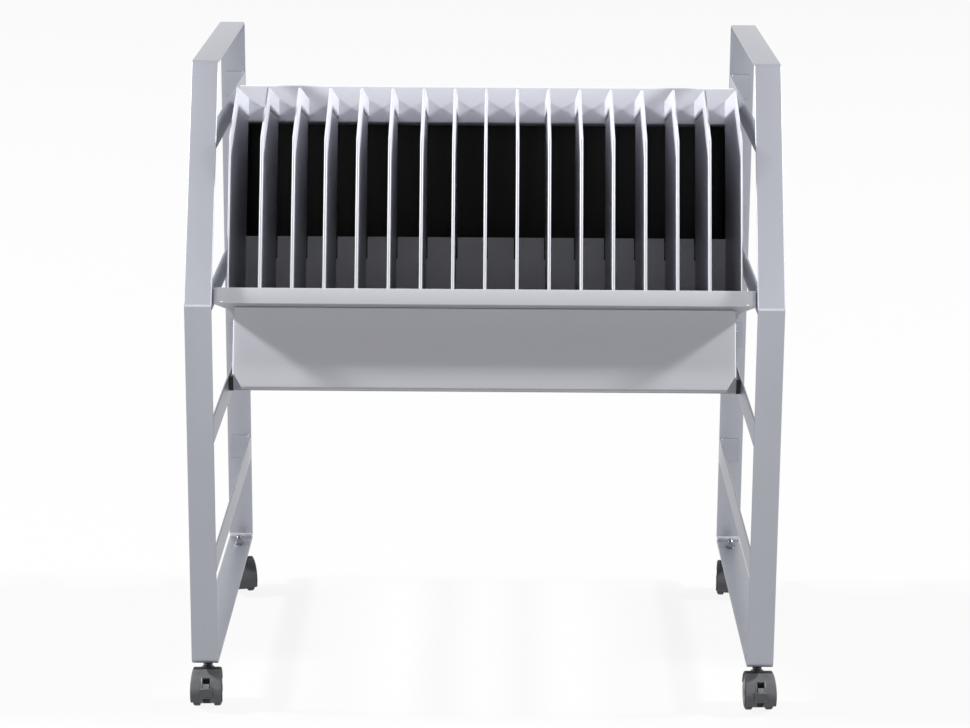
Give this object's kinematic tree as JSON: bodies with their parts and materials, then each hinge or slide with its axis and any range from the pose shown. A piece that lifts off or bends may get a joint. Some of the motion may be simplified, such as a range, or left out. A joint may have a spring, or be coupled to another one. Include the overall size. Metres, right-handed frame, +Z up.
{
  "type": "charging cart",
  "caption": "Open charging cart: two bent flat-bar side frames on swivel casters carry a tilted tray of upright dividers, with a cable compartment behind it.",
  "frame": {"origin": "on the ground under the middle of the cart", "axes": "+Z up, +Y to the back, front faces -Y, +X to the right seen from the front"},
  "size_m": [0.6669, 0.4748, 0.7245],
  "materials": {
    "frame_paint": "satin light grey powder coat",
    "tray_paint": "satin white powder coat",
    "compartment_paint": "satin white powder coat outside, matt black inside",
    "black_plastic": "matt black moulded plastic",
    "caster_plastic": "mid grey moulded nylon",
    "wheel_plastic": "dark grey hard tread",
    "zinc": "bright zinc plate"
  },
  "bodies": {
    "root": {"crossbar_bottom_left": "frame_paint", "crossbar_bottom_right": "frame_paint", "crossbar_lower_left": "frame_paint", "crossbar_lower_right": "frame_paint", "crossbar_tray_left": "frame_paint", "crossbar_tray_right": "frame_paint", "crossbar_upper_left": "frame_paint", "crossbar_upper_right": "frame_paint", "divider_01": "tray_paint", "divider_02": "tray_paint", "divider_03": "tray_paint", "divider_04": "tray_paint", "divider_05": "tray_paint", "divider_06": "tray_paint", "divider_07": "tray_paint", "divider_08": "tray_paint", "divider_09": "tray_paint", "divider_10": "tray_paint", "divider_11": "tray_paint", "divider_12": "tray_paint", "divider_13": "tray_paint", "divider_14": "tray_paint", "divider_15": "tray_paint", "power_inlet": "black_plastic", "power_strip": "black_plastic", "rear_cover": "compartment_paint", "rear_housing": "compartment_paint", "rear_panel": "tray_paint", "side_frame_left": "frame_paint", "side_frame_right": "frame_paint", "side_wall_left": "tray_paint", "side_wall_right": "tray_paint", "skirt": "tray_paint", "tray_pan": "tray_paint", "caster_front_left_stem": "black_plastic", "caster_front_left_nut": "zinc", "caster_front_right_stem": "black_plastic", "caster_front_right_nut": "zinc", "caster_rear_left_stem": "black_plastic", "caster_rear_left_nut": "zinc", "caster_rear_right_stem": "black_plastic", "caster_rear_right_nut": "zinc"},
    "caster_front_left": {"caster_front_left_housing": "caster_plastic", "caster_front_left_axle": "zinc"},
    "caster_front_left_wheel_left": {"caster_front_left_wheel_left": "wheel_plastic"},
    "caster_front_left_wheel_right": {"caster_front_left_wheel_right": "wheel_plastic"},
    "caster_front_left_brake": {"caster_front_left_brake_pedal": "caster_plastic"},
    "caster_front_right": {"caster_front_right_housing": "caster_plastic", "caster_front_right_axle": "zinc"},
    "caster_front_right_wheel_left": {"caster_front_right_wheel_left": "wheel_plastic"},
    "caster_front_right_wheel_right": {"caster_front_right_wheel_right": "wheel_plastic"},
    "caster_front_right_brake": {"caster_front_right_brake_pedal": "caster_plastic"},
    "caster_rear_left": {"caster_rear_left_housing": "caster_plastic", "caster_rear_left_axle": "zinc"},
    "caster_rear_left_wheel_left": {"caster_rear_left_wheel_left": "wheel_plastic"},
    "caster_rear_left_wheel_right": {"caster_rear_left_wheel_right": "wheel_plastic"},
    "caster_rear_right": {"caster_rear_right_housing": "caster_plastic", "caster_rear_right_axle": "zinc"},
    "caster_rear_right_wheel_left": {"caster_rear_right_wheel_left": "wheel_plastic"},
    "caster_rear_right_wheel_right": {"caster_rear_right_wheel_right": "wheel_plastic"}
  },
  "joints": [
    {"name": "caster_front_left_swivel", "type": "hinge", "parent": "root", "child": "caster_front_left", "pos_m": [-0.315, -0.19164, 0.04], "axis": [0, 0, 1], "continuous": true},
    {"name": "caster_front_left_roll_left", "type": "hinge", "parent": "caster_front_left", "child": "caster_front_left_wheel_left", "pos_m": [-0.31441, -0.20863, 0.02], "axis": [0.9994, 0.0349, 0], "continuous": true},
    {"name": "caster_front_left_roll_right", "type": "hinge", "parent": "caster_front_left", "child": "caster_front_left_wheel_right", "pos_m": [-0.31441, -0.20863, 0.02], "axis": [0.9994, 0.0349, 0], "continuous": true},
    {"name": "caster_front_left_brake_press", "type": "hinge", "parent": "caster_front_left", "child": "caster_front_left_brake", "pos_m": [-0.31399, -0.22062, 0.022], "axis": [0.9994, 0.0349, 0], "range_deg": [0, 12]},
    {"name": "caster_front_right_swivel", "type": "hinge", "parent": "root", "child": "caster_front_right", "pos_m": [0.315, -0.19164, 0.04], "axis": [0, 0, 1], "continuous": true},
    {"name": "caster_front_right_roll_left", "type": "hinge", "parent": "caster_front_right", "child": "caster_front_right_wheel_left", "pos_m": [0.31559, -0.20863, 0.02], "axis": [0.9994, 0.0349, 0], "continuous": true},
    {"name": "caster_front_right_roll_right", "type": "hinge", "parent": "caster_front_right", "child": "caster_front_right_wheel_right", "pos_m": [0.31559, -0.20863, 0.02], "axis": [0.9994, 0.0349, 0], "continuous": true},
    {"name": "caster_front_right_brake_press", "type": "hinge", "parent": "caster_front_right", "child": "caster_front_right_brake", "pos_m": [0.31601, -0.22062, 0.022], "axis": [0.9994, 0.0349, 0], "range_deg": [0, 12]},
    {"name": "caster_rear_left_swivel", "type": "hinge", "parent": "root", "child": "caster_rear_left", "pos_m": [-0.315, 0.20336, 0.04], "axis": [0, 0, 1], "continuous": true},
    {"name": "caster_rear_left_roll_left", "type": "hinge", "parent": "caster_rear_left", "child": "caster_rear_left_wheel_left", "pos_m": [-0.31147, 0.18673, 0.02], "axis": [0.9781, 0.2079, 0], "continuous": true},
    {"name": "caster_rear_left_roll_right", "type": "hinge", "parent": "caster_rear_left", "child": "caster_rear_left_wheel_right", "pos_m": [-0.31147, 0.18673, 0.02], "axis": [0.9781, 0.2079, 0], "continuous": true},
    {"name": "caster_rear_right_swivel", "type": "hinge", "parent": "root", "child": "caster_rear_right", "pos_m": [0.315, 0.20336, 0.04], "axis": [0, 0, 1], "continuous": true},
    {"name": "caster_rear_right_roll_left", "type": "hinge", "parent": "caster_rear_right", "child": "caster_rear_right_wheel_left", "pos_m": [0.31441, 0.18637, 0.02], "axis": [0.9994, -0.0349, 0], "continuous": true},
    {"name": "caster_rear_right_roll_right", "type": "hinge", "parent": "caster_rear_right", "child": "caster_rear_right_wheel_right", "pos_m": [0.31441, 0.18637, 0.02], "axis": [0.9994, -0.0349, 0], "continuous": true}
  ]
}
